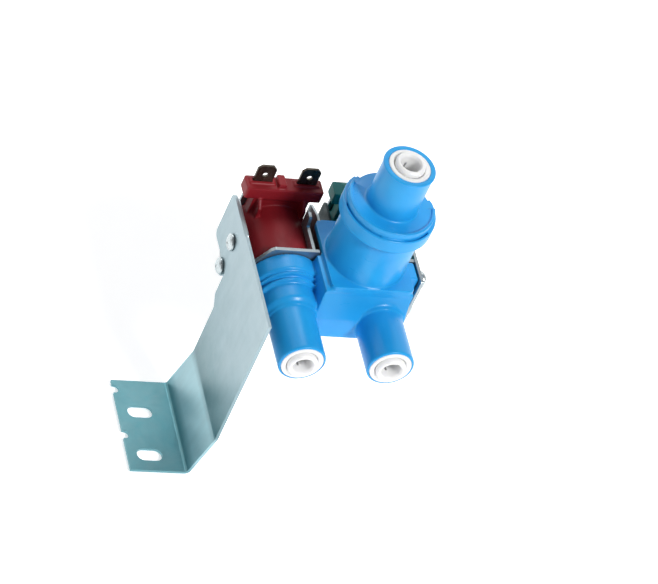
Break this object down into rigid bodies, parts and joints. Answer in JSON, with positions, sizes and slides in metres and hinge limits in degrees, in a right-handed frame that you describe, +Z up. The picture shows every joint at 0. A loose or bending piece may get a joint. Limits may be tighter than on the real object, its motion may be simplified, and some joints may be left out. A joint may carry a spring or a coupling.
{
  "type": "solenoid valve",
  "caption": "Water inlet solenoid valve with an upright push-fit inlet, side-by-side push-fit outlets, paired coils with spade terminals and a folded steel foot bracket.",
  "frame": {"origin": "underside of the bracket's foot, midway between its two slots", "axes": "+Z up along the inlet port; -Y the way the outlet ports point; +X from the foot towards the valve"},
  "size_m": [0.0829, 0.0628, 0.1195],
  "materials": {
    "zinc_plated_steel": "blue chromate zinc plate, satin",
    "rivet_steel": "zinc plate, worn bright",
    "blue_moulding": "glossy moulded acetal",
    "red_overmould": "satin glass-filled nylon",
    "green_overmould": "satin glass-filled nylon",
    "tinned_brass": "dull tinned brass",
    "black_rubber": "matte nitrile",
    "white_acetal": "semi-gloss moulded acetal",
    "natural_nylon": "natural moulded nylon",
    "stainless_steel": "turned stainless steel"
  },
  "bodies": {
    "valve": {"bracket_rivet_lower": "rivet_steel", "bracket_rivet_upper": "rivet_steel", "coil_green": "green_overmould", "coil_red": "red_overmould", "fixed_core_green": "stainless_steel", "fixed_core_red": "stainless_steel", "flow_washer": "black_rubber", "guide_tube_green": "stainless_steel", "guide_tube_red": "stainless_steel", "inlet_cap": "blue_moulding", "inlet_cap_oring": "black_rubber", "inlet_cartridge": "white_acetal", "inlet_screen": "natural_nylon", "inlet_tube_oring": "black_rubber", "mounting_bracket": "zinc_plated_steel", "outlet_left_cartridge": "white_acetal", "outlet_left_tube_oring": "black_rubber", "outlet_right_cartridge": "white_acetal", "outlet_right_tube_oring": "black_rubber", "rear_pole_plate_green": "zinc_plated_steel", "rear_pole_plate_red": "zinc_plated_steel", "side_screw_lower": "stainless_steel", "side_screw_upper": "stainless_steel", "terminal_green_left": "tinned_brass", "terminal_green_right": "tinned_brass", "terminal_red_left": "tinned_brass", "terminal_red_right": "tinned_brass", "valve_body": "blue_moulding", "yoke_green": "zinc_plated_steel", "yoke_red": "zinc_plated_steel"},
    "inlet_release": {"inlet_collet": "white_acetal"},
    "outlet_left_release": {"outlet_left_collet": "white_acetal"},
    "outlet_right_release": {"outlet_right_collet": "white_acetal"},
    "plunger_red": {"armature_red": "stainless_steel", "armature_spring_red": "stainless_steel"},
    "plunger_green": {"armature_green": "stainless_steel", "armature_spring_green": "stainless_steel"},
    "diaphragm_red": {"diaphragm_insert_red": "white_acetal", "membrane_red": "black_rubber"},
    "diaphragm_green": {"diaphragm_insert_green": "white_acetal", "membrane_green": "black_rubber"}
  },
  "joints": [
    {"name": "inlet_collet_slide", "type": "slide", "parent": "valve", "child": "inlet_release", "axis": [0, 0, -1], "range_m": [0, 0.0012], "stiffness_N_per_m": 400},
    {"name": "outlet_left_collet_slide", "type": "slide", "parent": "valve", "child": "outlet_left_release", "axis": [0, 1, 0], "range_m": [0, 0.0012], "stiffness_N_per_m": 400},
    {"name": "outlet_right_collet_slide", "type": "slide", "parent": "valve", "child": "outlet_right_release", "axis": [0, 1, 0], "range_m": [0, 0.0012], "stiffness_N_per_m": 400},
    {"name": "plunger_red_lift", "type": "slide", "parent": "valve", "child": "plunger_red", "axis": [0, 1, 0], "range_m": [0, 0.0015], "stiffness_N_per_m": 150, "deforming": ["armature_spring_red"]},
    {"name": "diaphragm_red_lift", "type": "slide", "parent": "valve", "child": "diaphragm_red", "axis": [0, 1, 0], "range_m": [0, 0.001], "deforming": ["membrane_red"]},
    {"name": "plunger_green_lift", "type": "slide", "parent": "valve", "child": "plunger_green", "axis": [0, 1, 0], "range_m": [0, 0.0015], "stiffness_N_per_m": 150, "deforming": ["armature_spring_green"]},
    {"name": "diaphragm_green_lift", "type": "slide", "parent": "valve", "child": "diaphragm_green", "axis": [0, 1, 0], "range_m": [0, 0.001], "deforming": ["membrane_green"]}
  ],
  "couplings": [
    {"joint": "diaphragm_red_lift", "follows": "plunger_red_lift", "ratio": 0.6666},
    {"joint": "diaphragm_green_lift", "follows": "plunger_green_lift", "ratio": 0.6666}
  ]
}
